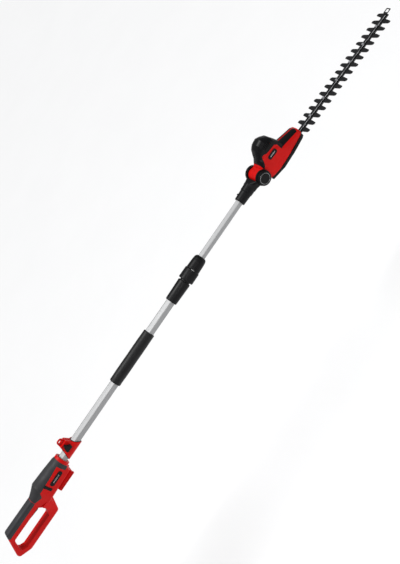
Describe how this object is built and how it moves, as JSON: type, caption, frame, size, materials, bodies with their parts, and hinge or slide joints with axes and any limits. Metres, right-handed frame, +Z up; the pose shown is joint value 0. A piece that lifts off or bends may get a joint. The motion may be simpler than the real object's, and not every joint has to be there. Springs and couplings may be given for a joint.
{
  "type": "pole hedge trimmer",
  "caption": "Battery pole hedge trimmer with a telescopic tube, a tilting motor head, a double-edged blade, a loop rear handle with trigger and a sliding strap bracket.",
  "frame": {"origin": "centre of the foam hand grip, on the axis of the tube", "axes": "+X along the tube towards the blade tip, +Y to the user's left, +Z up, away from the battery side"},
  "size_m": [2.1065, 0.0806, 0.1738],
  "materials": {
    "red_shell": "satin moulded plastic",
    "dark_shell": "satin moulded plastic",
    "soft_grip": "matt overmould",
    "foam": "open foam skin",
    "tube": "satin anodised",
    "blade": "black coated, ground edges",
    "bar": "black coated",
    "bright_steel": "bright zinc",
    "gear_steel": "machined",
    "cast_alloy": "as cast",
    "brass_parts": "plain",
    "board": "laminate",
    "lead": "smooth sheath"
  },
  "bodies": {
    "handle": {"handle_shell_left": "red_shell", "handle_shell_right": "red_shell", "grip_cover": "soft_grip", "top_cover": "dark_shell", "front_collar": "red_shell", "battery_rail": "red_shell", "battery_contacts": "brass_parts", "handle_plates": "dark_shell", "handle_screws": "bright_steel", "switch_module": "dark_shell", "control_board": "board", "tube_sleeve": "dark_shell", "trigger_pin": "bright_steel", "trigger_spring": "gear_steel", "lock_spring": "gear_steel", "outer_tube": "tube", "foam_grip": "foam", "clamp_sleeve": "dark_shell", "coiled_lead": "lead"},
    "trigger": {"trigger": "dark_shell"},
    "lock_button": {"lock_button": "dark_shell"},
    "strap_bracket": {"strap_bracket": "red_shell", "bracket_liner": "dark_shell", "bracket_bolt": "bright_steel"},
    "bracket_knob": {"bracket_knob": "dark_shell"},
    "clamp_nut": {"clamp_nut": "dark_shell"},
    "inner_tube": {"inner_tube": "tube", "tube_plug": "dark_shell", "inner_lead": "lead", "fork_left": "dark_shell", "fork_right": "dark_shell", "fork_screws": "bar", "fork_cap": "dark_shell", "pivot_bolt": "bright_steel"},
    "tilt_knob": {"tilt_knob": "dark_shell", "knob_insert": "brass_parts"},
    "head": {"head_shell_left": "red_shell", "head_shell_right": "red_shell", "motor_cover": "dark_shell", "bottom_cover": "dark_shell", "side_inlays": "dark_shell", "head_plates": "dark_shell", "head_screws": "bright_steel", "gearbox_plate": "cast_alloy", "gearbox_base": "cast_alloy", "bearings": "gear_steel", "motor_can": "gear_steel", "motor_magnets": "gear_steel", "guide_bar": "bar", "blade_bolts": "bright_steel", "tip_guard": "bar", "serrated_disc": "gear_steel", "tilt_spring": "gear_steel"},
    "rotor": {"motor_armature": "gear_steel", "motor_pinion": "gear_steel", "cooling_fan": "dark_shell"},
    "crank": {"crank_gear": "gear_steel"},
    "upper_blade": {"upper_blade": "blade"},
    "lower_blade": {"lower_blade": "blade"}
  },
  "joints": [
    {"name": "trigger_squeeze", "type": "hinge", "parent": "handle", "child": "trigger", "pos_m": [-0.662, 0, -0.013], "axis": [0, -1, 0], "range_deg": [0, 5], "stiffness_Nm_per_rad": 2, "springref_deg": -5.73, "deforming": ["trigger_spring"]},
    {"name": "lock_press", "type": "slide", "parent": "handle", "child": "lock_button", "axis": [0, 1, 0], "range_m": [0, 0.003], "stiffness_N_per_m": 400, "springref_m": -0.002, "deforming": ["lock_spring"]},
    {"name": "bracket_slide", "type": "slide", "parent": "handle", "child": "strap_bracket", "axis": [1, 0, 0], "range_m": [0, 0.19]},
    {"name": "bracket_knob_turn", "type": "hinge", "parent": "strap_bracket", "child": "bracket_knob", "pos_m": [-0.341, 0, 0.023], "axis": [0, 1, 0], "range_deg": [0, 180]},
    {"name": "clamp_turn", "type": "hinge", "parent": "handle", "child": "clamp_nut", "pos_m": [0.34, 0, 0], "axis": [1, 0, 0], "range_deg": [0, 90]},
    {"name": "tube_slide", "type": "slide", "parent": "handle", "child": "inner_tube", "axis": [1, 0, 0], "range_m": [-0.2, 0.16], "deforming": ["coiled_lead"]},
    {"name": "tilt_knob_turn", "type": "hinge", "parent": "inner_tube", "child": "tilt_knob", "pos_m": [0.698, 0, 0], "axis": [0, 1, 0], "range_deg": [0, 90]},
    {"name": "head_tilt", "type": "hinge", "parent": "inner_tube", "child": "head", "pos_m": [0.698, 0, 0], "axis": [0, -1, 0], "range_deg": [-75, 75]},
    {"name": "crank_spin", "type": "hinge", "parent": "head", "child": "crank", "pos_m": [0.80352, 0, -0.02025], "axis": [0.0401, 0, 0.9992], "continuous": true},
    {"name": "rotor_spin", "type": "hinge", "parent": "head", "child": "rotor", "pos_m": [0.77574, 0, 0.01689], "axis": [0.0401, 0, 0.9992], "continuous": true},
    {"name": "upper_blade_stroke", "type": "slide", "parent": "head", "child": "upper_blade", "axis": [0.9992, 0, -0.0401], "range_m": [-0.00525, 0.00875]},
    {"name": "lower_blade_stroke", "type": "slide", "parent": "head", "child": "lower_blade", "axis": [0.9992, 0, -0.0401], "range_m": [-0.00875, 0.00525]}
  ],
  "couplings": [
    {"joint": "rotor_spin", "follows": "crank_spin", "ratio": -4.9091},
    {"joint": "lower_blade_stroke", "follows": "upper_blade_stroke", "ratio": -1}
  ]
}
